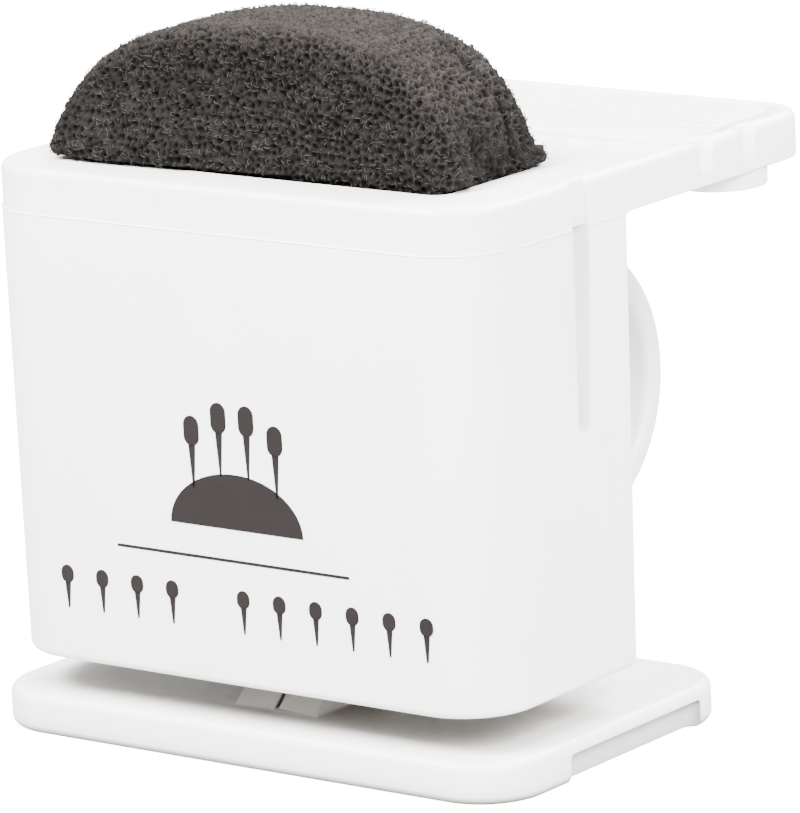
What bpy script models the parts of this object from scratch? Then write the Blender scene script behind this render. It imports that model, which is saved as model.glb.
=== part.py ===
"""Finger-worn file organiser on a bench base.

A moulded holder carries a half-moon foam insert, a graduated deck with two file gauges and a
swivelling finger ring.  The holder lifts off a flat base that has a split clip post.

Frame: +Z up, +X along the holder's long side, -Y is the front face.  The origin is on the
underside of the base, in line with the middle of the plate.  Lengths below are in millimetres.
"""
import math

import bpy
import bmesh
from mathutils import Matrix, Vector

MM = 0.001
GAP = 0.3                       # air between neighbouring pieces

# Base plate with its split clip post
BASE_HALF_X = 19.8
BASE_HALF_Y = 12.2
BASE_HEIGHT = 2.6
BASE_CORNER = 4.2
BASE_EDGE = 0.6
GRIP_Y = (-5.3, 8.2)            # finger recess under the lip at each short end
GRIP_DEPTH = 0.9
GRIP_TOP = 1.75
POST_HALF_X = 3.1
POST_FRONT = -6.2
POST_BACK = -1.5
POST_TOP = 9.4
POST_SLIT = 0.3
RAMP_FRONT = -8.3

# Holder: cup, deck frame and bottom cover
CUP_BOTTOM = 4.9
CUP_FRONT = -11.6
CUP_HALF_X = (18.6, 18.84)      # at the bottom and at the top
CUP_BACK = (3.6, 4.1)           # at the bottom and at the top
CUP_CORNER = 4.5
CUP_BACK_CORNER = 0.4
CUP_WALL = 1.8
CUP_BACK_WALL = 1.4
CAVITY_TOP = 21.0
FLOOR_TOP = 22.6
EDGE = 0.5
DECK_TOP = 35.4
DECK_THICKNESS = 2.8
DECK_BACK = 24.5
DECK_HALF_X = 18.8
DECK_STEP = 0.1                 # the frame sits in from the cup's front face by this much
DECK_CORNER = 3.6
WELL_HALF_X = 14.0
WELL_FRONT = -7.8
WELL_BACK = 2.5
WELL_CORNER = 1.0
COVER_HEIGHT = 1.5
SOCKET_TOP = 10.0
SOCKET_WALL = 1.2

# Relief slots in the holder's two sides
SLOT_FRONT = -1.6
SLOT_BACK = 0.0
SLOT_FOOT_WIDTH = 1.1
SLOT_BOTTOM = 20.2
SLOT_DEPTH = 2.6

# Graduated deck
LIP = 1.0
RECESS_DEPTH = 0.4
RECESS_FRONT = 4.8
RECESS_BACK = 11.0
STRIP_POCKET_FRONT = 15.9
STRIP_FRONT = 16.4
STRIP_BACK = 23.2
STRIP_HALF_X = 16.8
STRIP_DEPTH = 1.0
GAUGE_Y = (12.3, 16.9)          # the two file gauges, half-round notches in the deck's side
GAUGE_RADIUS = 0.7
GAUGE_MOUTH = 1.1
GAUGE_FLOOR = 33.2
BOSS_X = 15.7
BOSS_Y = 18.2
BOSS_RADIUS = 2.9
BOSS_DROP = 1.2

# Finger ring and the stud that it swivels on
RING_Y = 16.25
RING_Z = 17.7
RING_OUTER = 9.1
RING_INNER = 7.5
RING_HALF_WIDTH = 6.0
RING_EDGE = 0.5
HUB_RADIUS = 4.2
HUB_FRONT = 4.2
STUD_RADIUS = 1.5
STUD_HEAD_RADIUS = 2.6
STUD_HEAD_FRONT = 7.85
STUD_HEAD_BACK = 8.45
STUD_TIP = -0.3
CLIP_RADIUS = 2.8
CLIP_FRONT = 0.6
CLIP_BACK = 1.9

# Half-moon foam insert
FOAM_HALF_X = 13.7
FOAM_FRONT = -7.4
FOAM_BACK = 2.1
FOAM_BOTTOM = 22.9
FOAM_SHOULDER = 34.6
FOAM_TOP = 44.1
FOAM_FULLNESS = 2.15            # 2 is an ellipse, more is squarer
FOAM_EDGE = 0.8

WHITE_PLASTIC = (0.86, 0.86, 0.84)
SHADED_PLASTIC = (0.82, 0.82, 0.80)
STUD_PLASTIC = (0.78, 0.78, 0.76)
CHARCOAL_FOAM = (0.045, 0.038, 0.035)


# ---------------------------------------------------------------- small tools

def clear_scene():
    for obj in list(bpy.data.objects):
        bpy.data.objects.remove(obj, do_unlink=True)


def make_material(name, colour, roughness, metallic=0.0):
    material = bpy.data.materials.new(name)
    material.use_nodes = True
    shader = material.node_tree.nodes["Principled BSDF"]
    shader.inputs["Base Color"].default_value = (*colour, 1.0)
    shader.inputs["Roughness"].default_value = roughness
    shader.inputs["Metallic"].default_value = metallic
    return material


def add_object(name, bm, material=None):
    """Turn a bmesh in millimetres into an object in metres, its origin at the world origin."""
    bmesh.ops.recalc_face_normals(bm, faces=bm.faces)
    bmesh.ops.transform(bm, matrix=Matrix.Scale(MM, 4), verts=bm.verts)
    mesh = bpy.data.meshes.new(name)
    bm.to_mesh(mesh)
    bm.free()
    obj = bpy.data.objects.new(name, mesh)
    bpy.context.scene.collection.objects.link(obj)
    if material is not None:
        mesh.materials.append(material)
    return obj


def shade(obj, degrees=35):
    obj.data.shade_smooth()
    obj.data.set_sharp_from_angle(angle=math.radians(degrees))


def set_origin(obj, point):
    """Move the object's origin to a point in millimetres and leave the shape where it is."""
    place = Vector(point) * MM
    obj.data.transform(Matrix.Translation(-place))
    obj.location = place


def as_tool(obj):
    obj.hide_render = True
    obj.display_type = 'WIRE'
    return obj


def boolean(obj, tool, operation):
    modifier = obj.modifiers.new(f"{operation.lower()}_{tool.name}", 'BOOLEAN')
    modifier.operation = operation
    modifier.solver = 'EXACT'
    modifier.object = as_tool(tool)


def cut(obj, *tools):
    for tool in tools:
        boolean(obj, tool, 'DIFFERENCE')


def fuse(obj, *tools):
    for tool in tools:
        boolean(obj, tool, 'UNION')


def rounded_outline(x0, x1, y0, y1, front_radius, back_radius, steps=6):
    """Counter-clockwise outline of a rectangle with round corners, from its front right corner."""
    corners = (
        (x1, y0, -1, 1, front_radius, -90),
        (x1, y1, -1, -1, back_radius, 0),
        (x0, y1, 1, -1, back_radius, 90),
        (x0, y0, 1, 1, front_radius, 180),
    )
    points = []
    for x, y, to_x, to_y, radius, start in corners:
        radius = max(radius, 0.02)
        centre = (x + to_x * radius, y + to_y * radius)
        for step in range(steps + 1):
            angle = math.radians(start + 90 * step / steps)
            points.append((centre[0] + radius * math.cos(angle), centre[1] + radius * math.sin(angle)))
    return points


def loft(levels):
    """Skin a stack of (z, outline) levels and cap both ends."""
    bm = bmesh.new()
    rings = [[bm.verts.new((x, y, z)) for x, y in outline] for z, outline in levels]
    count = len(rings[0])
    for lower, upper in zip(rings, rings[1:]):
        for i in range(count):
            j = (i + 1) % count
            bm.faces.new((lower[i], lower[j], upper[j], upper[i]))
    bm.faces.new(list(reversed(rings[0])))
    bm.faces.new(rings[-1])
    return bm


def edge_levels(z_low, z_high, low_edge, high_edge, steps=3):
    """(z, inset) pairs from the bottom to the top of a block with rounded rims."""
    levels = []
    for step in range(steps + 1 if low_edge else 1):
        angle = math.radians(90 * step / steps) if low_edge else math.radians(90)
        levels.append((z_low + low_edge * (1 - math.cos(angle)), low_edge * (1 - math.sin(angle))))
    for step in range(steps + 1 if high_edge else 1):
        angle = math.radians(90 * (1 - step / steps)) if high_edge else math.radians(90)
        levels.append((z_high - high_edge * (1 - math.cos(angle)), high_edge * (1 - math.sin(angle))))
    return levels


def block(name, x, y, z, corner=(0.0, 0.0), edge=(0.0, 0.0), material=None, steps=6):
    """Upright block: x, y and z are (low, high); corner is (front, back); edge is (bottom, top)."""
    levels = []
    for height, inset in edge_levels(z[0], z[1], edge[0], edge[1]):
        outline = rounded_outline(x[0] + inset, x[1] - inset, y[0] + inset, y[1] - inset,
                                  corner[0] - inset, corner[1] - inset, steps)
        levels.append((height, outline))
    return add_object(name, loft(levels), material)


def turned(name, profile, axis, centre, segments, material=None):
    """Solid of revolution: profile is a closed loop of (along, radius) round the X, Y or Z axis."""
    bm = bmesh.new()
    rings = []
    for step in range(segments):
        angle = 2 * math.pi * step / segments
        ring = []
        for along, radius in profile:
            across = (radius * math.cos(angle), radius * math.sin(angle))
            point = {'X': (along, *across), 'Y': (across[0], along, across[1]), 'Z': (*across, along)}[axis]
            ring.append(bm.verts.new(Vector(point) + Vector(centre)))
        rings.append(ring)
    count = len(profile)
    for step in range(segments):
        near, far = rings[step], rings[(step + 1) % segments]
        for i in range(count):
            j = (i + 1) % count
            bm.faces.new((near[i], near[j], far[j], far[i]))
    bmesh.ops.remove_doubles(bm, verts=bm.verts, dist=1e-6)
    bmesh.ops.dissolve_degenerate(bm, edges=bm.edges, dist=1e-6)
    return add_object(name, bm, material)


def rod(name, axis, centre, radius, low, high, segments=32, material=None):
    """Plain cylinder along one axis, from low to high measured from the centre."""
    profile = [(low, 0.0), (low, radius), (high, radius), (high, 0.0)]
    return turned(name, profile, axis, centre, segments, material)


def prism(name, outline, x, material=None):
    """Solid with a (y, z) outline, pushed along X from x[0] to x[1]."""
    bm = bmesh.new()
    near = [bm.verts.new((x[0], y, z)) for y, z in outline]
    far = [bm.verts.new((x[1], y, z)) for y, z in outline]
    bm.faces.new(near)
    bm.faces.new(list(reversed(far)))
    for i in range(len(outline)):
        j = (i + 1) % len(outline)
        bm.faces.new((near[i], far[i], far[j], near[j]))
    return add_object(name, bm, material)


# ---------------------------------------------------------------- pieces

def make_base_plate(material):
    plate = block("base_plate", (-BASE_HALF_X, BASE_HALF_X), (-BASE_HALF_Y, BASE_HALF_Y), (0, BASE_HEIGHT),
                  (BASE_CORNER, BASE_CORNER), (BASE_EDGE, BASE_EDGE), material)
    for side, name in ((-1, "grip_left"), (1, "grip_right")):
        ends = sorted((side * (BASE_HALF_X - GRIP_DEPTH), side * (BASE_HALF_X + 3)))
        cut(plate, block(name, ends, GRIP_Y, (-1, GRIP_TOP), (0.8, 0.8)))
    ramp_rise = CUP_BOTTOM - GAP - BASE_HEIGHT
    sunk = BASE_HEIGHT - 1.0
    outline = [(RAMP_FRONT, BASE_HEIGHT), (POST_FRONT, BASE_HEIGHT + ramp_rise), (POST_FRONT, POST_TOP - 1.0),
               (POST_FRONT + 0.8, POST_TOP), (POST_BACK - 0.8, POST_TOP), (POST_BACK, POST_TOP - 1.0),
               (POST_BACK, sunk), (RAMP_FRONT, sunk)]
    fuse(plate, prism("clip_post_form", outline, (-POST_HALF_X, POST_HALF_X)))
    cut(plate, block("clip_slit", (-POST_SLIT / 2, POST_SLIT / 2), (RAMP_FRONT - 1, POST_BACK + 1),
                     (BASE_HEIGHT + 0.1, POST_TOP + 1)))
    return plate


def cup_size(z):
    """Half width and back face of the holder at a height, following its draft."""
    share = (z - CUP_BOTTOM) / (DECK_TOP - CUP_BOTTOM)
    half_x = CUP_HALF_X[0] + share * (CUP_HALF_X[1] - CUP_HALF_X[0])
    back = CUP_BACK[0] + share * (CUP_BACK[1] - CUP_BACK[0])
    return half_x, back


def make_slot_tool(name, side):
    """Tapered slot with a round foot, cut into one side of the holder."""
    middle = (SLOT_FRONT + SLOT_BACK) / 2
    foot = SLOT_FOOT_WIDTH / 2
    outline = [(SLOT_FRONT, DECK_TOP - DECK_THICKNESS + 1), (SLOT_FRONT, 31.0)]
    for step in range(9):
        angle = math.radians(180 + 180 * step / 8)
        outline.append((middle - 0.25 + foot * math.cos(angle), SLOT_BOTTOM + foot + foot * math.sin(angle)))
    outline += [(SLOT_BACK, 31.0), (SLOT_BACK, DECK_TOP - DECK_THICKNESS + 1)]
    ends = sorted((side * (CUP_HALF_X[0] - SLOT_DEPTH), side * (CUP_HALF_X[1] + 2)))
    return prism(name, outline, ends)


def make_holder_cup(material):
    top = DECK_TOP - DECK_THICKNESS - GAP
    levels = []
    for height, inset in edge_levels(CUP_BOTTOM, top, EDGE, 0.0):
        half_x, back = cup_size(height)
        outline = rounded_outline(-half_x + inset, half_x - inset, CUP_FRONT + inset, back - inset,
                                  CUP_CORNER - inset, CUP_BACK_CORNER - 0.5 * inset, 8)
        levels.append((height, outline))
    cup = add_object("holder_cup", loft(levels), material)
    inner_x = CUP_HALF_X[0] - CUP_WALL
    cavity = block("cup_cavity", (-inner_x, inner_x), (CUP_FRONT + CUP_WALL, CUP_BACK[0] - CUP_BACK_WALL),
                   (CUP_BOTTOM - 1, CAVITY_TOP), (CUP_CORNER - CUP_WALL, WELL_CORNER))
    well = block("cup_well", (-WELL_HALF_X, WELL_HALF_X), (WELL_FRONT, WELL_BACK), (FLOOR_TOP, DECK_TOP + 1),
                 (WELL_CORNER, WELL_CORNER), steps=4)
    bore = rod("cup_stud_bore", 'Y', (0, 0, RING_Z), STUD_RADIUS + GAP, 0.5, 6)
    cut(cup, cavity, well, bore, make_slot_tool("slot_left", -1), make_slot_tool("slot_right", 1))
    return cup


def make_deck_frame(material):
    low = DECK_TOP - DECK_THICKNESS
    frame = block("deck_frame", (-DECK_HALF_X, DECK_HALF_X), (CUP_FRONT + DECK_STEP, DECK_BACK), (low, DECK_TOP),
                  (CUP_CORNER, DECK_CORNER), (0.0, EDGE), material, steps=8)
    boss = rod("gauge_boss_form", 'Z', (BOSS_X, BOSS_Y, low), BOSS_RADIUS, -BOSS_DROP, 1.0)
    fuse(frame, boss)
    well = block("frame_well", (-WELL_HALF_X, WELL_HALF_X), (WELL_FRONT, WELL_BACK), (low - 1, DECK_TOP + 1),
                 (WELL_CORNER, WELL_CORNER), steps=4)
    inner_x = DECK_HALF_X - LIP
    recess = block("deck_recess", (-inner_x, inner_x), (RECESS_FRONT, RECESS_BACK),
                   (DECK_TOP - RECESS_DEPTH, DECK_TOP + 1), (0.6, 0.6), steps=4)
    pocket = block("strip_pocket", (-inner_x, inner_x), (STRIP_POCKET_FRONT, STRIP_BACK + GAP),
                   (DECK_TOP - STRIP_DEPTH - GAP, DECK_TOP + 1), (0.4, DECK_CORNER - LIP), steps=4)
    cut(frame, well, recess, pocket)
    for number, y in enumerate(GAUGE_Y, start=1):
        profile = [(GAUGE_FLOOR, 0.0), (GAUGE_FLOOR, 0.35), (GAUGE_FLOOR + 0.4, GAUGE_RADIUS),
                   (DECK_TOP - 0.7, GAUGE_RADIUS), (DECK_TOP + 0.1, GAUGE_MOUTH), (DECK_TOP + 1, GAUGE_MOUTH),
                   (DECK_TOP + 1, 0.0)]
        cut(frame, turned(f"gauge_notch_{number}", profile, 'Z', (DECK_HALF_X + 0.05, y, 0), 24))
    return frame


def make_bottom_cover(material):
    inner_x = CUP_HALF_X[0] - CUP_WALL - GAP
    y = (CUP_FRONT + CUP_WALL + GAP, CUP_BACK[0] - CUP_BACK_WALL - GAP)
    low = CUP_BOTTOM + 0.1
    cover = block("bottom_cover", (-inner_x, inner_x), y, (low, low + COVER_HEIGHT),
                  (CUP_CORNER - CUP_WALL - GAP, WELL_CORNER - GAP), material=material)
    hole_x = POST_HALF_X + GAP
    hole_y = (POST_FRONT - GAP, POST_BACK + GAP)
    wall = SOCKET_WALL
    fuse(cover, block("socket_form", (-hole_x - wall, hole_x + wall), (hole_y[0] - wall, hole_y[1] + wall),
                      (low + COVER_HEIGHT - 0.5, SOCKET_TOP)))
    cut(cover, block("socket_hole", (-hole_x, hole_x), hole_y, (low - 1, SOCKET_TOP + 1)))
    return cover


def make_ruler_strip(material):
    return block("ruler_strip", (-STRIP_HALF_X, STRIP_HALF_X), (STRIP_FRONT, STRIP_BACK),
                 (DECK_TOP - STRIP_DEPTH, DECK_TOP), (0.3, DECK_CORNER - LIP - 0.6), (0.0, 0.15),
                 material, steps=4)


def make_finger_ring(material):
    """Round loop with its axis along X, and a hub in front that turns on the stud."""
    edge = RING_EDGE
    half = RING_HALF_WIDTH
    profile = [(-half, RING_INNER + edge), (-half, RING_OUTER - edge), (-half + edge, RING_OUTER),
               (half - edge, RING_OUTER), (half, RING_OUTER - edge), (half, RING_INNER + edge),
               (half - edge, RING_INNER), (-half + edge, RING_INNER)]
    ring = turned("finger_ring", profile, 'X', (0, RING_Y, RING_Z), 64, material)
    hub = rod("ring_hub_form", 'Y', (0, 0, RING_Z), HUB_RADIUS, HUB_FRONT, STUD_HEAD_FRONT)
    seat = rod("stud_head_seat", 'Y', (0, 0, RING_Z), STUD_HEAD_RADIUS + GAP, STUD_HEAD_FRONT - GAP, RING_Y - 5)
    bore = rod("ring_stud_bore", 'Y', (0, 0, RING_Z), STUD_RADIUS + GAP, HUB_FRONT - 1, RING_Y - 5)
    fuse(ring, hub)
    cut(ring, seat, bore)
    set_origin(ring, (0, RING_Y, RING_Z))
    return ring


def make_swivel_stud(material):
    profile = [(STUD_TIP, 0.0), (STUD_TIP, STUD_RADIUS - 0.3), (STUD_TIP + 0.3, STUD_RADIUS),
               (STUD_HEAD_FRONT, STUD_RADIUS), (STUD_HEAD_FRONT, STUD_HEAD_RADIUS),
               (STUD_HEAD_BACK - 0.2, STUD_HEAD_RADIUS), (STUD_HEAD_BACK, STUD_HEAD_RADIUS - 0.3),
               (STUD_HEAD_BACK, 0.0)]
    return turned("swivel_stud", profile, 'Y', (0, 0, RING_Z), 32, material)


def make_stud_clip(material):
    inner = STUD_RADIUS + GAP
    profile = [(CLIP_FRONT, inner), (CLIP_FRONT, CLIP_RADIUS), (CLIP_BACK, CLIP_RADIUS), (CLIP_BACK, inner)]
    return turned("stud_clip", profile, 'Y', (0, 0, RING_Z), 32, material)


def make_foam_insert(material):
    """Block that fills the well, with a half-moon top drawn as a full half ellipse."""
    outline = [(-FOAM_HALF_X, FOAM_BOTTOM), (FOAM_HALF_X, FOAM_BOTTOM)]
    arc_steps = 24
    for step in range(arc_steps + 1):
        angle = math.radians(180 * step / arc_steps)
        across, rise = math.cos(angle), math.sin(angle)
        reach = (abs(across) ** FOAM_FULLNESS + abs(rise) ** FOAM_FULLNESS) ** (-1 / FOAM_FULLNESS)
        outline.append((FOAM_HALF_X * reach * across,
                        FOAM_SHOULDER + (FOAM_TOP - FOAM_SHOULDER) * reach * rise))
    bm = bmesh.new()
    front = [bm.verts.new((x, FOAM_FRONT, z)) for x, z in outline]
    back = [bm.verts.new((x, FOAM_BACK, z)) for x, z in outline]
    bm.faces.new(front)
    bm.faces.new(list(reversed(back)))
    for i in range(len(outline)):
        j = (i + 1) % len(outline)
        bm.faces.new((front[i], back[i], back[j], front[j]))
    foam = add_object("foam_insert", bm, material)
    bevel = foam.modifiers.new("soft_edge", 'BEVEL')
    bevel.width = FOAM_EDGE * MM
    bevel.segments = 2
    bevel.limit_method = 'ANGLE'
    bevel.angle_limit = math.radians(50)
    return foam


def main():
    clear_scene()
    white = make_material("white_plastic", WHITE_PLASTIC, 0.35)
    shaded = make_material("white_plastic_inner", SHADED_PLASTIC, 0.4)
    stud = make_material("stud_plastic", STUD_PLASTIC, 0.35)
    foam = make_material("charcoal_foam", CHARCOAL_FOAM, 0.95)
    for piece in (
        make_base_plate(white),
        make_holder_cup(white),
        make_deck_frame(white),
        make_bottom_cover(shaded),
        make_ruler_strip(white),
        make_finger_ring(shaded),
        make_swivel_stud(stud),
        make_stud_clip(stud),
        make_foam_insert(foam),
    ):
        shade(piece)


main()
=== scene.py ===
"""Looks for the finger-worn file organiser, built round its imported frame. Lengths are in millimetres."""
import math

import bpy
import bmesh
import numpy as np
from mathutils import Matrix, Vector


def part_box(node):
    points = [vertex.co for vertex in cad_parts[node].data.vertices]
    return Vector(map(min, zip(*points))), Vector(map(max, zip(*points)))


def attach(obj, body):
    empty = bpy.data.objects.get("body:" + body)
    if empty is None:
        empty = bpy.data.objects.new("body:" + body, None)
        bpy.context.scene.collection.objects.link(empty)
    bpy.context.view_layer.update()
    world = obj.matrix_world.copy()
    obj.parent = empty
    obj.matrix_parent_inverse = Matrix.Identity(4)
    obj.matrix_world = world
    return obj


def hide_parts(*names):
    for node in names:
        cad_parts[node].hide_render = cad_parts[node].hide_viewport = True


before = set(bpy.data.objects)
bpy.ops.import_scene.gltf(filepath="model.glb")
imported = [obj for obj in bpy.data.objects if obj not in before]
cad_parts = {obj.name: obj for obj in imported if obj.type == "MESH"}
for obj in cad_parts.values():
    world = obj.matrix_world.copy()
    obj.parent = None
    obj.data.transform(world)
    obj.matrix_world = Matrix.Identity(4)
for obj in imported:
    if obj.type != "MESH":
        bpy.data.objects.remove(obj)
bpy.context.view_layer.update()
MM = 0.001


def node_box(name):
    low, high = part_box(name)
    return low / MM, high / MM


# ---------------------------------------------------------------- mesh tools

def add_object(name, bm, material=None):
    """Turn a bmesh in millimetres into an object in metres."""
    bmesh.ops.recalc_face_normals(bm, faces=bm.faces)
    bmesh.ops.transform(bm, matrix=Matrix.Scale(MM, 4), verts=bm.verts)
    mesh = bpy.data.meshes.new(name)
    bm.to_mesh(mesh)
    bm.free()
    obj = bpy.data.objects.new(name, mesh)
    bpy.context.scene.collection.objects.link(obj)
    if material is not None:
        mesh.materials.append(material)
    return obj


def rounded_outline(x0, x1, y0, y1, front_radius, back_radius, steps=10):
    """Counter-clockwise outline of a rectangle with round corners, from its front right corner."""
    corners = (
        (x1, y0, -1, 1, front_radius, -90),
        (x1, y1, -1, -1, back_radius, 0),
        (x0, y1, 1, -1, back_radius, 90),
        (x0, y0, 1, 1, front_radius, 180),
    )
    points = []
    for x, y, to_x, to_y, radius, start in corners:
        radius = max(radius, 0.02)
        centre = (x + to_x * radius, y + to_y * radius)
        for step in range(steps + 1):
            angle = math.radians(start + 90 * step / steps)
            points.append((centre[0] + radius * math.cos(angle), centre[1] + radius * math.sin(angle)))
    return points


def loft(levels):
    """Skin a stack of (z, outline) levels and cap both ends."""
    bm = bmesh.new()
    rings = [[bm.verts.new((x, y, z)) for x, y in outline] for z, outline in levels]
    count = len(rings[0])
    for lower, upper in zip(rings, rings[1:]):
        for i in range(count):
            j = (i + 1) % count
            bm.faces.new((lower[i], lower[j], upper[j], upper[i]))
    bm.faces.new(list(reversed(rings[0])))
    bm.faces.new(rings[-1])
    return bm


def edge_levels(z_low, z_high, low_edge, high_edge, steps=5):
    """(z, inset) pairs from the bottom to the top of a block with rounded rims."""
    levels = []
    for step in range(steps + 1 if low_edge else 1):
        angle = math.radians(90 * step / steps) if low_edge else math.radians(90)
        levels.append((z_low + low_edge * (1 - math.cos(angle)), low_edge * (1 - math.sin(angle))))
    for step in range(steps + 1 if high_edge else 1):
        angle = math.radians(90 * (1 - step / steps)) if high_edge else math.radians(90)
        levels.append((z_high - high_edge * (1 - math.cos(angle)), high_edge * (1 - math.sin(angle))))
    return levels


def block(name, x, y, z, corner=(0.0, 0.0), edge=(0.0, 0.0), material=None, steps=10):
    """Upright block: x, y and z are (low, high); corner is (front, back); edge is (bottom, top)."""
    levels = []
    for height, inset in edge_levels(z[0], z[1], edge[0], edge[1]):
        outline = rounded_outline(x[0] + inset, x[1] - inset, y[0] + inset, y[1] - inset,
                                  corner[0] - inset, corner[1] - inset, steps)
        levels.append((height, outline))
    return add_object(name, loft(levels), material)


def turned(name, profile, axis, centre, segments, material=None):
    """Solid of revolution: profile is a closed loop of (along, radius) round the X, Y or Z axis."""
    bm = bmesh.new()
    rings = []
    for step in range(segments):
        angle = 2 * math.pi * step / segments
        ring = []
        for along, radius in profile:
            across = (radius * math.cos(angle), radius * math.sin(angle))
            point = {'X': (along, *across), 'Y': (across[0], along, across[1]), 'Z': (*across, along)}[axis]
            ring.append(bm.verts.new(Vector(point) + Vector(centre)))
        rings.append(ring)
    count = len(profile)
    for step in range(segments):
        near, far = rings[step], rings[(step + 1) % segments]
        for i in range(count):
            j = (i + 1) % count
            bm.faces.new((near[i], near[j], far[j], far[i]))
    bmesh.ops.remove_doubles(bm, verts=bm.verts, dist=1e-5)
    bmesh.ops.dissolve_degenerate(bm, edges=bm.edges, dist=1e-5)
    return add_object(name, bm, material)


def rod(name, axis, centre, radius, low, high, segments=64):
    profile = [(low, 0.0), (low, radius), (high, radius), (high, 0.0)]
    return turned(name, profile, axis, centre, segments)


def prism(name, outline, x, material=None):
    """Solid with a (y, z) outline, pushed along X from x[0] to x[1]."""
    bm = bmesh.new()
    near = [bm.verts.new((x[0], y, z)) for y, z in outline]
    far = [bm.verts.new((x[1], y, z)) for y, z in outline]
    bm.faces.new(near)
    bm.faces.new(list(reversed(far)))
    for i in range(len(outline)):
        j = (i + 1) % len(outline)
        bm.faces.new((near[i], far[i], far[j], near[j]))
    return add_object(name, bm, material)


def combine(obj, operation, *tools):
    """Boolean each tool into the object, then drop the tools."""
    for tool in tools:
        modifier = obj.modifiers.new("combine", 'BOOLEAN')
        modifier.operation = operation
        modifier.solver = 'EXACT'
        modifier.object = tool
        apply_modifiers(obj)
        bpy.data.objects.remove(tool, do_unlink=True)


def apply_modifiers(obj):
    graph = bpy.context.evaluated_depsgraph_get()
    mesh = bpy.data.meshes.new_from_object(obj.evaluated_get(graph))
    obj.modifiers.clear()
    obj.data = mesh


def soften(obj, width, angle=38, segments=3):
    """Round every edge sharper than the angle, as a mould does."""
    bevel = obj.modifiers.new("soften", 'BEVEL')
    bevel.width = width * MM
    bevel.segments = segments
    bevel.limit_method = 'ANGLE'
    bevel.angle_limit = math.radians(angle)
    bevel.use_clamp_overlap = False
    bevel.miter_outer = 'MITER_ARC'
    apply_modifiers(obj)
    smooth(obj)


def smooth(obj, degrees=32):
    obj.data.shade_smooth()
    obj.data.set_sharp_from_angle(angle=math.radians(degrees))


# ---------------------------------------------------------------- materials

def new_material(name):
    material = bpy.data.materials.new(name)
    material.use_nodes = True
    tree = material.node_tree
    return material, tree, tree.nodes["Principled BSDF"]


def noise(tree, scale, detail=3.0, roughness=0.5):
    """Noise texture in object space, so that it stays put on a moving piece. Scale is per metre."""
    place = tree.nodes.new("ShaderNodeTexCoord")
    texture = tree.nodes.new("ShaderNodeTexNoise")
    texture.inputs["Scale"].default_value = scale
    texture.inputs["Detail"].default_value = detail
    texture.inputs["Roughness"].default_value = roughness
    tree.links.new(place.outputs["Object"], texture.inputs["Vector"])
    return texture


def ramp(tree, source, stops):
    node = tree.nodes.new("ShaderNodeValToRGB")
    elements = node.color_ramp.elements
    while len(elements) < len(stops):
        elements.new(0.5)
    for element, (position, colour) in zip(elements, stops):
        element.position = position
        element.color = (*colour, 1.0)
    tree.links.new(source, node.inputs["Fac"])
    return node


def moulded_plastic(name, colour, roughness, tint=0.015, grain=0.012):
    """White satin plastic: faint cloudy colour, uneven gloss and a fine moulded grain."""
    material, tree, shader = new_material(name)
    cloud = noise(tree, 160.0, 4.0)
    low = tuple(c * (1 - tint) for c in colour)
    high = tuple(min(1.0, c * (1 + tint)) for c in colour)
    shade = ramp(tree, cloud.outputs["Fac"], [(0.35, low), (0.65, high)])
    tree.links.new(shade.outputs["Color"], shader.inputs["Base Color"])
    gloss = noise(tree, 420.0, 5.0, 0.6)
    spread = tree.nodes.new("ShaderNodeMapRange")
    spread.inputs["To Min"].default_value = roughness - 0.06
    spread.inputs["To Max"].default_value = roughness + 0.08
    tree.links.new(gloss.outputs["Fac"], spread.inputs["Value"])
    tree.links.new(spread.outputs["Result"], shader.inputs["Roughness"])
    fine = noise(tree, 5200.0, 2.0)
    bump = tree.nodes.new("ShaderNodeBump")
    bump.inputs["Strength"].default_value = 0.35
    bump.inputs["Distance"].default_value = grain * MM
    tree.links.new(fine.outputs["Fac"], bump.inputs["Height"])
    tree.links.new(bump.outputs["Normal"], shader.inputs["Normal"])
    shader.inputs["IOR"].default_value = 1.49
    shader.inputs["Subsurface Weight"].default_value = 0.06
    shader.inputs["Subsurface Radius"].default_value = (1.0, 0.95, 0.85)
    shader.inputs["Subsurface Scale"].default_value = 1.2 * MM
    return material


CREVICE_REACH = 5.0             # how far away a neighbour still darkens the surface


def shade_crevices(material):
    """Deepen the soft shadow where another piece comes close over the surface."""
    tree = material.node_tree
    shader = tree.nodes["Principled BSDF"]
    source = shader.inputs["Base Color"].links[0].from_socket
    near = tree.nodes.new("ShaderNodeAmbientOcclusion")
    near.inputs["Distance"].default_value = CREVICE_REACH * MM
    dark = ramp(tree, near.outputs["AO"], [(0.12, (0.16, 0.13, 0.11)), (0.62, (1.0, 1.0, 1.0))])
    mix = tree.nodes.new("ShaderNodeMix")
    mix.data_type = 'RGBA'
    mix.blend_type = 'MULTIPLY'
    mix.inputs["Factor"].default_value = 1.0
    tree.links.new(source, mix.inputs[6])
    tree.links.new(dark.outputs["Color"], mix.inputs[7])
    tree.links.new(mix.outputs[2], shader.inputs["Base Color"])


# ---------------------------------------------------------------- lights, camera

FLOOR_RADIUS = 1400.0
FLOOR_GLOW = 16.0               # only the camera sees it, so it gives a white backdrop and lights nothing
SKY_STRENGTH = 1.1
LIGHT_TARGET = (0, 0, 0.02)


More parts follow.
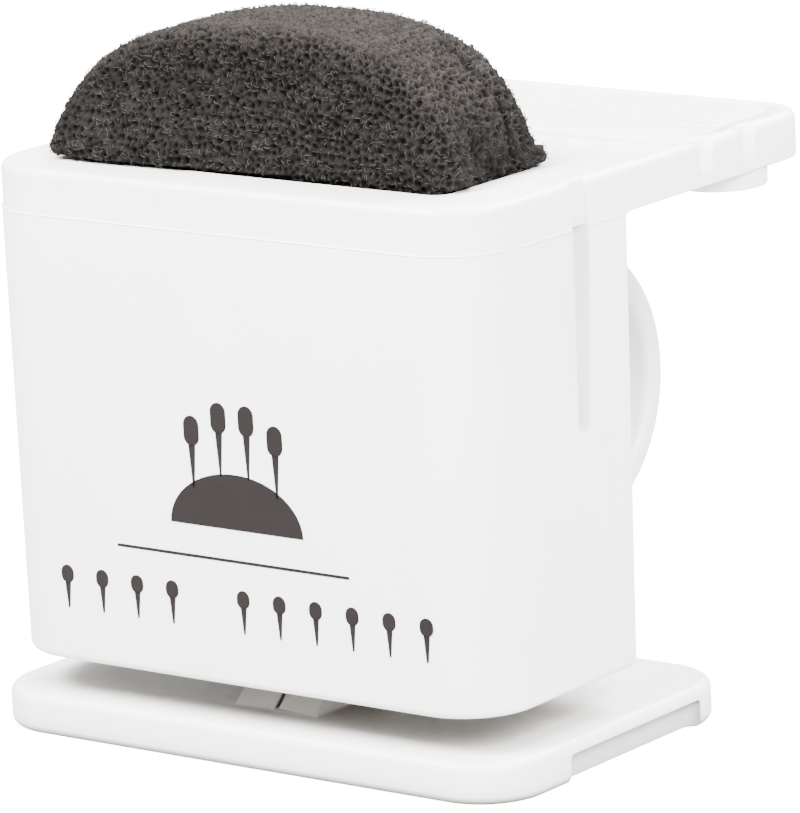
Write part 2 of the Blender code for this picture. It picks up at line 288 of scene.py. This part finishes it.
def pale_floor():
    material, tree, shader = new_material("studio_floor")
    shader.inputs["Base Color"].default_value = (0.4, 0.4, 0.4, 1.0)
    shader.inputs["Roughness"].default_value = 0.9
    shader.inputs["Emission Color"].default_value = (1.0, 1.0, 1.0, 1.0)
    seen = tree.nodes.new("ShaderNodeLightPath")
    glow = tree.nodes.new("ShaderNodeMath")
    glow.operation = 'MULTIPLY'
    glow.inputs[1].default_value = FLOOR_GLOW
    tree.links.new(seen.outputs["Is Camera Ray"], glow.inputs[0])
    tree.links.new(glow.outputs[0], shader.inputs["Emission Strength"])
    bm = bmesh.new()
    bmesh.ops.create_circle(bm, cap_ends=True, segments=96, radius=FLOOR_RADIUS)
    floor = add_object("studio_floor", bm, material)


def area_light(name, place, size, watts):
    """Square soft light aimed at the object."""
    data = bpy.data.lights.new(name, 'AREA')
    data.shape = 'RECTANGLE'
    data.size = size
    data.size_y = size
    data.energy = watts
    lamp = bpy.data.objects.new(name, data)
    bpy.context.scene.collection.objects.link(lamp)
    lamp.location = place
    lamp.rotation_euler = (Vector(LIGHT_TARGET) - Vector(place)).to_track_quat('-Z', 'Y').to_euler()


def studio():
    world = bpy.data.worlds.new("studio")
    bpy.context.scene.world = world
    world.use_nodes = True
    sky = world.node_tree.nodes["Background"]
    sky.inputs["Color"].default_value = (1.0, 1.0, 1.0, 1.0)
    sky.inputs["Strength"].default_value = SKY_STRENGTH
    area_light("key_light", (-0.22, -0.38, 0.56), 0.3, 30.0)
    area_light("fill_light", (0.55, -0.25, 0.45), 0.35, 30.0)
    area_light("back_light", (0.0, 0.5, 0.55), 0.4, 24.0)
    pale_floor()


AZIMUTH = 37.51
ELEVATION = 13.24
ROLL = -2.74
DISTANCE = 395.43
LENS = 287.752
SENSOR = 36.0
AIM_HEIGHT = 15.0
AIM = (3.15, 4.58)              # sideways and upward shift of the camera's axis from that height


def make_camera():
    azimuth, elevation, roll = (math.radians(v) for v in (AZIMUTH, ELEVATION, ROLL))
    back = Vector((math.sin(azimuth) * math.cos(elevation), -math.cos(azimuth) * math.cos(elevation),
                   math.sin(elevation)))
    level = Vector((math.cos(azimuth), math.sin(azimuth), 0))
    upright = back.cross(level)
    right = level * math.cos(roll) + upright * math.sin(roll)
    up = upright * math.cos(roll) - level * math.sin(roll)
    place = (back * DISTANCE + right * AIM[0] + up * AIM[1] + Vector((0, 0, AIM_HEIGHT))) * MM
    data = bpy.data.cameras.new("camera")
    data.sensor_width = SENSOR
    data.lens = LENS
    data.clip_start = 0.01
    data.clip_end = 10.0
    camera = bpy.data.objects.new("camera", data)
    bpy.context.scene.collection.objects.link(camera)
    camera.matrix_world = Matrix.Translation(place) @ Matrix((right, up, back)).transposed().to_4x4()
    bpy.context.scene.camera = camera


# ---------------------------------------------------------------- holder, base and ring

EDGE = 0.5                      # rounding of the holder's rims
MOULD_ROUND = 0.12              # rounding of every other moulded edge
CUP_CORNER = 4.5
CUP_HALF_X = (18.6, 18.84)      # at the cup's foot and at the deck's top
CUP_BACK = (3.6, 4.1)
CUP_WALL = 1.8
CAVITY_BACK = 2.2
CAVITY_TOP = 21.0
WELL_X = (-14.0, 14.0)
WELL_Y = (-7.8, 2.5)
WELL_FLOOR = 22.6
SLOT_Y = (-1.6, 0.0)
SLOT_FOOT = (20.2, 1.1)         # height of the slot's foot, and its width there
SLOT_WIDE = 31.0                # the slot is at full width from here up
SLOT_TOP = 33.5
SLOT_MOUTH = 0.35               # depth of the shallow notch over the slot
GAUGE_Y = (12.3, 16.9)
GAUGE_PROFILE = ((33.2, 0.0), (33.2, 0.3), (33.35, 0.55), (33.6, 0.7), (34.6, 0.72), (35.1, 0.85),
                 (35.5, 1.15), (36.5, 1.6), (36.5, 0.0))   # height and radius, from the floor to the mouth
BOSS = (15.7, 18.2, 2.9, 1.2)   # x, y, radius and drop under the deck
POCKET_FRONT = 15.9
RECESS_Y = (4.8, 11.0)
RECESS_DEPTH = 0.4
LIP = 1.0
DECK_CORNER = 3.6
STUD_HEIGHT = 17.7
STUD_BORE = 1.8

cup_low, cup_high = node_box("holder_cup")
deck_low, deck_high = node_box("deck_frame")
strip_low, strip_high = node_box("ruler_strip")
base_low, base_high = node_box("base_plate")
ring_low, ring_high = node_box("finger_ring")
foam_low, foam_high = node_box("foam_insert")
DECK_UNDER = deck_low.z + BOSS[3]


def cup_outline(z, inset=0.0):
    """Outline of the cup at a height: its sides and back follow a slight draft."""
    share = (z - cup_low.z) / (deck_high.z - cup_low.z)
    half_x = CUP_HALF_X[0] + (CUP_HALF_X[1] - CUP_HALF_X[0]) * share - inset
    back = CUP_BACK[0] + (CUP_BACK[1] - CUP_BACK[0]) * share - inset
    return rounded_outline(-half_x, half_x, cup_low.y + inset, back,
                           CUP_CORNER - inset, 0.4 - 0.5 * inset, 12)


def slot_tool(side):
    """Tapered slot with a round foot, its mouth under the deck frame's rim."""
    middle = (SLOT_Y[0] + SLOT_Y[1]) / 2
    foot = SLOT_FOOT[1] / 2
    outline = [(SLOT_Y[0], SLOT_TOP), (SLOT_Y[0], SLOT_WIDE)]
    for step in range(17):
        angle = math.radians(180 + 180 * step / 16)
        outline.append((middle - 0.25 + foot * math.cos(angle), SLOT_FOOT[0] + foot + foot * math.sin(angle)))
    outline += [(SLOT_Y[1], SLOT_WIDE), (SLOT_Y[1], SLOT_TOP)]
    return prism("slot_tool", outline, sorted((side * 16.0, side * 21.0)))


def make_holder(material):
    """Cup and deck frame as the one white moulding that shows, with the well, slots and gauges cut in."""
    levels = [(z, cup_outline(z, inset)) for z, inset in edge_levels(cup_low.z, DECK_UNDER, EDGE, 0.0)]
    cup = add_object("holder_shell", loft(levels), material)
    above = deck_high.z + 1
    inner_x = CUP_HALF_X[0] - CUP_WALL
    cavity = block("cavity", (-inner_x, inner_x), (cup_low.y + CUP_WALL, CAVITY_BACK),
                   (cup_low.z - 1, CAVITY_TOP), (CUP_CORNER - CUP_WALL, 1.0))
    well = block("well", WELL_X, WELL_Y, (WELL_FLOOR, above), (1.0, 1.0))
    bore = rod("bore", 'Y', (0, 0, STUD_HEIGHT), STUD_BORE, 0.5, 6)
    combine(cup, 'DIFFERENCE', cavity, slot_tool(-1), slot_tool(1))
    rim = block("rim", (deck_low.x, deck_high.x), (deck_low.y, deck_high.y), (DECK_UNDER, deck_high.z),
                (CUP_CORNER, DECK_CORNER), (0.0, EDGE), steps=12)
    boss = rod("boss", 'Z', (BOSS[0], BOSS[1], DECK_UNDER), BOSS[2], -BOSS[3], 1.0)
    joint = block("joint", (-17.6, 17.6), (cup_low.y + 1.2, 3.4),
                  (DECK_UNDER - 1, DECK_UNDER + 1), (3.0, 0.5))
    combine(rim, 'UNION', boss, joint)
    combine(cup, 'UNION', rim)
    inner_x = deck_high.x - LIP
    recess = block("recess", (-inner_x, inner_x), RECESS_Y, (deck_high.z - RECESS_DEPTH, above), (0.6, 0.6))
    pocket = block("pocket", (-inner_x, inner_x), (POCKET_FRONT, strip_high.y + 0.3),
                   (strip_low.z - 0.3, above), (0.4, DECK_CORNER - LIP))
    combine(cup, 'DIFFERENCE', well, bore, recess, pocket)
    for side in (-1, 1):
        mouth = sorted((side * (deck_high.x - SLOT_MOUTH), side * (deck_high.x + 2)))
        combine(cup, 'DIFFERENCE', block("slot_mouth", mouth, SLOT_Y, (32.0, above)))
    for y in GAUGE_Y:
        gauge = turned("gauge", GAUGE_PROFILE, 'Z', (deck_high.x + 0.05, y, 0), 48)
        combine(cup, 'DIFFERENCE', gauge)
    soften(cup, MOULD_ROUND)
    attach(cup, "holder")
    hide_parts("holder_cup", "deck_frame")
    return cup


BASE_HEIGHT = 2.6
BASE_CORNER = 4.2
BASE_EDGE = 0.6
GRIP_Y = (-5.3, 8.2)
GRIP_DEPTH = 0.9
GRIP_TOP = 1.75
POST_HALF_X = 3.1
POST_OUTLINE = ((-8.3, BASE_HEIGHT), (-6.2, 4.6), (-6.2, 8.4), (-5.4, 9.4), (-2.3, 9.4), (-1.5, 8.4),
                (-1.5, BASE_HEIGHT - 1), (-8.3, BASE_HEIGHT - 1))   # (y, z), from the foot of the ramp


def make_base(material):
    """Bench base with grip recesses and the split clip post's two ramped feet."""
    plate = block("bench_base", (base_low.x, base_high.x), (base_low.y, base_high.y), (0, BASE_HEIGHT),
                  (BASE_CORNER, BASE_CORNER), (BASE_EDGE, BASE_EDGE), material, steps=16)
    for side in (-1, 1):
        ends = sorted((side * (base_high.x - GRIP_DEPTH), side * (base_high.x + 3)))
        combine(plate, 'DIFFERENCE', block("grip", ends, GRIP_Y, (-1, GRIP_TOP), (0.8, 0.8), (0.0, 0.3)))
    combine(plate, 'UNION', prism("post", POST_OUTLINE, (-POST_HALF_X, POST_HALF_X)))
    combine(plate, 'DIFFERENCE', block("slit", (-0.12, 0.12), (-9.5, 0), (BASE_HEIGHT + 0.1, 11)))
    soften(plate, MOULD_ROUND)
    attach(plate, "base")
    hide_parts("base_plate")
    return plate


RING_CENTRE = (0, 16.25, STUD_HEIGHT)
RING_RADII = (9.1, 7.5)         # outer and inner
RING_EDGE = 0.6
HUB_RADIUS = 4.2
SEAT_RADIUS = 2.9               # the pocket for the stud's head


def make_ring(material):
    """Finger ring with round lips and the hub that turns on the stud."""
    outer, inner = RING_RADII
    half, edge = ring_high.x, RING_EDGE
    profile = []
    corners = ((-half + edge, outer - edge, 180, 90), (half - edge, outer - edge, 90, 0),
               (half - edge, inner + edge, 0, -90), (-half + edge, inner + edge, -90, -180))
    for along, radius, start, end in corners:
        for step in range(6):
            angle = math.radians(start + (end - start) * step / 5)
            profile.append((along + edge * math.cos(angle), radius + edge * math.sin(angle)))
    ring = turned("ring_loop", profile, 'X', RING_CENTRE, 128, material)
    hub = rod("hub", 'Y', (0, 0, STUD_HEIGHT), HUB_RADIUS, 4.2, 7.85)
    seat = rod("seat", 'Y', (0, 0, STUD_HEIGHT), SEAT_RADIUS, 7.55, 11.25)
    bore = rod("bore", 'Y', (0, 0, STUD_HEIGHT), STUD_BORE, 3.2, 11.25)
    combine(ring, 'UNION', hub)
    combine(ring, 'DIFFERENCE', seat, bore)
    soften(ring, 0.2)
    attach(ring, "ring")
    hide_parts("finger_ring")
    return ring


# ---------------------------------------------------------------- foam

FOAM_SEED = 11
CELL = 0.46                     # mean width of one foam cell
PIT = 0.30                      # how deep an open cell reads on the cut surface
FOAM_VOXEL = 0.13
FOAM_FIT = 13.72                # half width in the well
FOAM_SHOULDER = 34.5            # where the half-moon starts
FOAM_RISE = 0.15                # how far the uncut top stands over the CAD insert
FOAM_LEFT = (15.7, 2.4, 1.8)    # half width, fullness and bulge over the rim
FOAM_RIGHT = (14.0, 2.7, 0.4)
FOAM_WEAR = 1.3                 # extra rounding of the right shoulder
STRUTS = 14000
RIM_TOP = deck_high.z


def over_rim(z):
    """0 in the well, rising to 1 just above the rim."""
    share = min(max((z - RIM_TOP + 0.05) / 0.35, 0.0), 1.0)
    return share * share * (3 - 2 * share)


def foam_outline(inset):
    """(x, z) outline of the insert: straight in the well, a half-moon above it, more worn on the right."""
    top, shoulder = foam_high.z + FOAM_RISE, FOAM_SHOULDER
    points = [(FOAM_FIT - 0.5 * (1 - math.cos(inset)), foam_low.z + inset)]
    steps = 80
    for step in range(steps + 1):
        angle = math.pi * step / steps
        across, rise = math.cos(angle), math.sin(angle)
        right = 0.5 + 0.5 * across
        worn = inset * (1 + FOAM_WEAR * right * right * min(rise * 2.5, 1.0))
        wide, full, bulge = FOAM_RIGHT if across > 0 else FOAM_LEFT
        reach = (abs(across) ** full + rise ** full) ** (-1 / full)
        x = (wide - worn) * reach * across
        z = shoulder + (top - worn - shoulder) * reach * rise
        limit = FOAM_FIT + bulge * over_rim(z) - inset
        points.append((max(-limit, min(limit, x)), z))
    points.append((-points[0][0], points[0][1]))
    return points


def smooth_form():
    """The insert before its cells: an extrusion with soft front and back edges, evenly meshed."""
    front, back = foam_low.y, foam_high.y
    depth_insets = [(front, 0.9), (front + 0.12, 0.6), (front + 0.4, 0.28), (front + 0.8, 0.08),
                    (front + 1.4, 0.0), (back - 1.2, 0.0), (back - 0.6, 0.14), (back - 0.2, 0.45),
                    (back, 0.9)]
    bm = bmesh.new()
    rings = [[bm.verts.new((x, y, z)) for x, z in foam_outline(inset)] for y, inset in depth_insets]
    count = len(rings[0])
    for near, far in zip(rings, rings[1:]):
        for i in range(count):
            j = (i + 1) % count
            bm.faces.new((near[i], near[j], far[j], far[i]))
    bm.faces.new(rings[0])
    bm.faces.new(list(reversed(rings[-1])))
    form = add_object("foam_block", bm)
    remesh = form.modifiers.new("even", 'REMESH')
    remesh.mode = 'VOXEL'
    remesh.voxel_size = FOAM_VOXEL * MM
    apply_modifiers(form)
    return form


def cell_distances(points, seed):
    """Distances from each point to its two nearest cell centres, on a jittered grid of centres."""
    low = points.min(axis=0) - 2 * CELL
    grid = np.floor((points - low) / CELL).astype(int)
    size = grid.max(axis=0) + 3
    jitter = np.random.RandomState(seed).uniform(0.08, 0.92, (*size, 3))
    nearest = np.full((len(points), 2), 99.0)
    for dx in (-1, 0, 1):
        for dy in (-1, 0, 1):
            for dz in (-1, 0, 1):
                cell = grid + (dx, dy, dz)
                centre = low + (cell + jitter[cell[:, 0], cell[:, 1], cell[:, 2]]) * CELL
                gap = np.linalg.norm(points - centre, axis=1)
                nearest = np.sort(np.column_stack((nearest, gap)), axis=1)[:, :2]
    return nearest


def read_points(layer, attribute):
    values = np.zeros(len(layer) * 3, np.float32)
    layer.foreach_get(attribute, values)
    return values.reshape(-1, 3).astype(float)


def spill(points):
    """How the foam puffs out over the rim: in steps along the front, and at the right wall's ends."""
    x, y, z = points.T
    share = np.clip((z - RIM_TOP + 0.05) / 0.35, 0, 1)
    puff = share * (1 - np.clip((z - RIM_TOP - 1.0) / 3.5, 0, 1))
    front = np.clip((foam_low.y + 1.2 - y) / 1.2, 0, 1)
    reach = np.interp(x, (-14, -10, -5, -4.5, 1.2, 1.8, 7.2, 7.8),
                      (1.4, 1.4, 1.1, 0.85, 0.7, 0.45, 0.35, 0.1))
    right = np.clip((x - 11) / 2.7, 0, 1)
    side = np.interp(y, (-7.4, -6.0, -5.2, -4.6, -2.0, 2.1), (0.8, 0.9, 0.6, -0.2, 0.2, 0.7))
    back = np.clip((y - 1.0) / 1.1, 0, 1) * right * share * (z < RIM_TOP + 1.2)
    return np.column_stack((side * right * puff + 0.4 * back, 0.9 * back - reach * front * puff,
                            np.zeros(len(x))))


def make_foam(material, strut_material):
    """Open-cell foam: pits where cells were cut through, ridges between them and loose struts on top."""
    foam = smooth_form()
    foam.data.materials.append(material)
    mesh = foam.data
    points = read_points(mesh.vertices, "co") / MM
    normals = read_points(mesh.vertex_normals, "vector")
    points += spill(points)
    near = cell_distances(points, FOAM_SEED)
    wall = near[:, 1] - near[:, 0]
    # Ridge mask: it sets the pit depth and the struts, and paints shade into the pits' colour.
    ridge_and_painted_light = np.clip(1 - wall / (0.42 * CELL), 0, 1) ** 1.3
    worn = np.sin(points[:, 0] * 1.9 + 1.3) * np.sin(points[:, 2] * 2.3) * np.sin(points[:, 1] * 1.7 + 0.4)
    slit = np.exp(-((points[:, 1] + 0.5 + 0.25 * np.sin(points[:, 2] * 1.4)) / 0.2) ** 2)
    slit *= np.clip((points[:, 0] - 8.5) / 1.5, 0, 1) * np.clip((points[:, 2] - RIM_TOP) / 0.5, 0, 1)
    depth = PIT * (1 - ridge_and_painted_light) * (1 + 0.25 * worn) + 0.9 * slit
    moved = points - normals * depth[:, None]
    mesh.vertices.foreach_set("co", (moved * MM).astype(np.float32).ravel())
    # Colour attribute with painted light and shade: near black in the pits and along the slit as painted
    # shade, lighter on upward faces as painted top light.
    layer = mesh.attributes.new("ridge_and_painted_light", 'FLOAT', 'POINT')
    painted_top_light = np.clip(normals[:, 2] * 1.3 + 0.1, 0, 1)
    layer.data.foreach_set("value", (ridge_and_painted_light * (0.38 + 0.62 * painted_top_light) * (1 - slit)).astype(np.float32))
    mesh.shade_smooth()
    mesh.update()
    struts = make_struts(points, normals, ridge_and_painted_light, strut_material)
    for piece in (foam, struts):
        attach(piece, "foam")
    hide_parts("foam_insert")
    return foam


def make_struts(points, normals, ridge_and_painted_light, material):
    """Fine arched struts standing on the ridges, as the torn cell edges of cut foam do."""
    rng = np.random.RandomState(FOAM_SEED + 1)
    shown = np.where(ridge_and_painted_light > 0.55)[0]
    count = min(len(shown), STRUTS)
    chosen = rng.choice(shown, count, replace=False)
    vertices, faces = [], []
    for index in chosen:
        normal = normals[index]
        side = np.cross(normal, rng.normal(size=3))
        side /= np.linalg.norm(side) + 1e-9
        across = np.cross(normal, side)
        span = rng.uniform(0.18, 0.4)
        rise = rng.uniform(0.05, 0.2)
        thick = rng.uniform(0.018, 0.032)
        base = points[index] - normal * 0.08
        path = [(-0.5, -0.04), (-0.22, rise * 0.8), (0.2, rise), (0.5, rng.uniform(-0.04, rise))]
        start = len(vertices)
        for along, lift in path:
            centre = base + side * span * along + normal * lift
            for turn in (0.0, 2.094, 4.189):
                vertices.append(centre + thick * (math.cos(turn) * normal + math.sin(turn) * across))
        for ring in range(len(path) - 1):
            for k in range(3):
                a, b = start + ring * 3 + k, start + ring * 3 + (k + 1) % 3
                faces.append((a, b, b + 3, a + 3))
        faces.append((start + 2, start + 1, start))
        end = start + 3 * (len(path) - 1)
        faces.append((end, end + 1, end + 2))
    mesh = bpy.data.meshes.new("foam_struts")
    mesh.from_pydata([tuple(v * MM) for v in vertices], [], faces)
    mesh.materials.append(material)
    struts = bpy.data.objects.new("foam_struts", mesh)
    bpy.context.scene.collection.objects.link(struts)
    return struts


def foam_material(name, pit_colour, ridge_colour, by_ridge_and_painted_light):
    """Charcoal foam from the mesh's colour attribute: near black in the pits as painted shade, greyer on the
    ridges, lighter on upward faces as painted top light; the struts get a greyer blotchy tone.
    """
    material, tree, shader = new_material(name)
    blotch = noise(tree, 900.0, 3.0, 0.6)
    if by_ridge_and_painted_light:
        source = tree.nodes.new("ShaderNodeAttribute")
        source.attribute_name = "ridge_and_painted_light"
        mix = tree.nodes.new("ShaderNodeMath")
        mix.operation = 'MULTIPLY_ADD'
        mix.inputs[1].default_value = 0.75
        tree.links.new(source.outputs["Fac"], mix.inputs[0])
        soft = tree.nodes.new("ShaderNodeMath")
        soft.operation = 'MULTIPLY'
        soft.inputs[1].default_value = 0.4
        tree.links.new(blotch.outputs["Fac"], soft.inputs[0])
        tree.links.new(soft.outputs[0], mix.inputs[2])
        value = mix.outputs[0]
    else:
        value = blotch.outputs["Fac"]
    shade = ramp(tree, value, [(0.15, pit_colour), (0.9, ridge_colour)])
    tree.links.new(shade.outputs["Color"], shader.inputs["Base Color"])
    shader.inputs["Roughness"].default_value = 0.75
    shader.inputs["Specular IOR Level"].default_value = 0.05
    return material


# ---------------------------------------------------------------- print and scale

INK_PROUD = 0.03
PAD_CENTRE = (0.5, 14.7)
PAD_RADII = (5.0, 3.4)
PAD_FILES = ((-2.6, 17.0, 21.4), (-0.5, 17.9, 22.4), (1.6, 17.9, 22.4), (3.7, 17.0, 21.4))   # x, foot, top
PAD_FILE_WIDTH = 1.15
LINE_HEIGHT = 12.75
LINE_HALF_LENGTH = 8.8
LINE_HALF_WIDTH = 0.09
ROW_START = -12.9
ROW_PITCH = 2.72
ROW_PLACES = 11
ROW_GAP = 4                     # the place left empty between the two groups
ROW_HEIGHTS = (8.3, 11.0)
ROW_FILE_WIDTH = 0.95


def ink_shape(bm, outline):
    """Add one flat ink shape, an (x, z) outline on the holder's front face."""
    front, back = cup_low.y - INK_PROUD, cup_low.y + 0.1
    near = [bm.verts.new((x, front, z)) for x, z in outline]
    far = [bm.verts.new((x, back, z)) for x, z in outline]
    bm.faces.new(near)
    bm.faces.new(list(reversed(far)))
    for i in range(len(outline)):
        j = (i + 1) % len(outline)
        bm.faces.new((near[i], far[i], far[j], near[j]))


def capsule(x, z, half_x, half_z, steps=8):
    """Rounded bar: its shorter half size is the end radius."""
    radius = min(half_x, half_z)
    return [(px, pz) for px, pz in rounded_outline(x - half_x, x + half_x, z - half_z, z + half_z,
                                                    radius - 1e-3, radius - 1e-3, steps)]


def file_sign(bm, x, low, high, width):
    """A plain hand-file sign: a round-ended grip over a tapered shaft."""
    grip = (high - low) * 0.42
    ink_shape(bm, capsule(x, high - grip / 2, width / 2, grip / 2))
    neck, tip = high - grip + 0.05, low
    ink_shape(bm, [(x - width * 0.22, neck), (x - 0.05, tip), (x + 0.05, tip), (x + width * 0.22, neck)])


def make_print(material):
    """Plain printed decoration: files in a foam pad, a thin line and a row of files in two groups."""
    bm = bmesh.new()
    pad = []
    for degrees in range(0, 181, 6):
        angle = math.radians(degrees)
        pad.append((PAD_CENTRE[0] + PAD_RADII[0] * math.cos(angle),
                    PAD_CENTRE[1] + PAD_RADII[1] * math.sin(angle)))
    ink_shape(bm, pad)
    for x, low, high in PAD_FILES:
        file_sign(bm, x, low, high, PAD_FILE_WIDTH)
    ink_shape(bm, capsule(0.0, LINE_HEIGHT, LINE_HALF_LENGTH, LINE_HALF_WIDTH))
    for place in range(ROW_PLACES):
        if place != ROW_GAP:
            file_sign(bm, ROW_START + ROW_PITCH * place, *ROW_HEIGHTS, ROW_FILE_WIDTH)
    ink = add_object("front_print", bm, material)
    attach(ink, "holder")
    return ink


TICK_ZERO = 15.5
TICK_COUNT = 31
LONG_TICK = 1.5
SHORT_TICK = 0.8
NUMBER_EVERY = 5
NUMBER_SIZE = 2.9
NUMBER_FOOT = 22.6


def raised_bar(bm, x0, x1, y0, y1, height):
    """Add a bar that stands on the ruler strip's top."""
    corners = [(x0, y0), (x1, y0), (x1, y1), (x0, y1)]
    low = [bm.verts.new((x, y, strip_high.z - 0.1)) for x, y in corners]
    high = [bm.verts.new((x, y, strip_high.z + height)) for x, y in corners]
    bm.faces.new(list(reversed(low)))
    bm.faces.new(high)
    for i in range(4):
        j = (i + 1) % 4
        bm.faces.new((low[i], low[j], high[j], high[i]))


def make_scale(material):
    """Raised millimetre graduations on the ruler strip, with numbers read from behind."""
    bm = bmesh.new()
    front = strip_low.y
    raised_bar(bm, strip_low.x + 0.4, strip_high.x - 0.4, front + 0.2, front + 0.45, 0.1)
    for step in range(TICK_COUNT):
        length = LONG_TICK if step % NUMBER_EVERY == 0 else SHORT_TICK
        x = TICK_ZERO - step
        raised_bar(bm, x - 0.11, x + 0.11, front + 0.75, front + 0.75 + length, 0.08)
    ticks = add_object("ruler_ticks", bm, material)
    pieces = [ticks]
    for value in range(NUMBER_EVERY, TICK_COUNT, NUMBER_EVERY):
        curve = bpy.data.curves.new(f"ruler_number_{value}", 'FONT')
        curve.body = str(value)
        curve.align_x = 'CENTER'
        curve.size = NUMBER_SIZE * MM
        curve.extrude = 0.06 * MM
        curve.bevel_depth = 0.03 * MM
        number = bpy.data.objects.new(curve.name, curve)
        bpy.context.scene.collection.objects.link(number)
        number.location = Vector((TICK_ZERO - value, NUMBER_FOOT, strip_high.z)) * MM
        number.rotation_euler = (0, 0, math.pi)
        bpy.context.view_layer.update()
        mesh = bpy.data.meshes.new_from_object(number.evaluated_get(bpy.context.evaluated_depsgraph_get()))
        mesh.transform(number.matrix_world)
        mesh.materials.clear()
        mesh.materials.append(material)
        bpy.data.objects.remove(number, do_unlink=True)
        solid = bpy.data.objects.new(f"ruler_number_{value}", mesh)
        bpy.context.scene.collection.objects.link(solid)
        pieces.append(solid)
    for piece in pieces:
        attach(piece, "holder")
    return pieces


make_camera()
studio()
plastic = moulded_plastic("holder_white", (0.75, 0.75, 0.737), 0.4)
# The base is a darker copy of the white plastic, painted shade to deepen the gap under the holder.
base_plastic = moulded_plastic("base_white", (0.71, 0.708, 0.692), 0.4)
shade_crevices(base_plastic)
ring_plastic = moulded_plastic("ring_white", (0.66, 0.657, 0.64), 0.38)
inner_plastic = moulded_plastic("inner_white", (0.70, 0.70, 0.68), 0.42)
make_holder(plastic)
make_base(base_plastic)
make_ring(ring_plastic)
# Foam colours: the near black pit colour is painted shade in the cells.
foam_dark = foam_material("foam_charcoal", (0.0008, 0.0007, 0.0006), (0.019, 0.0165, 0.0148), True)
# The struts get a greyer copy of the foam: painted light on the thin strands.
foam_strut = foam_material("foam_strut_grey", (0.008, 0.0071, 0.0064), (0.042, 0.038, 0.035), False)
make_foam(foam_dark, foam_strut)
ink = moulded_plastic("print_ink", (0.0075, 0.0055, 0.0055), 0.45, 0.08, 0.004)
ink_shader = ink.node_tree.nodes["Principled BSDF"]
ink_shader.inputs["Subsurface Weight"].default_value = 0.0
ink_shader.inputs["Specular IOR Level"].default_value = 0.12
make_print(ink)
make_scale(plastic)
for name in ("ruler_strip", "bottom_cover", "swivel_stud", "stud_clip"):
    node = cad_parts[name]
    node.data.materials.clear()
    node.data.materials.append(plastic if name == "ruler_strip" else inner_plastic)
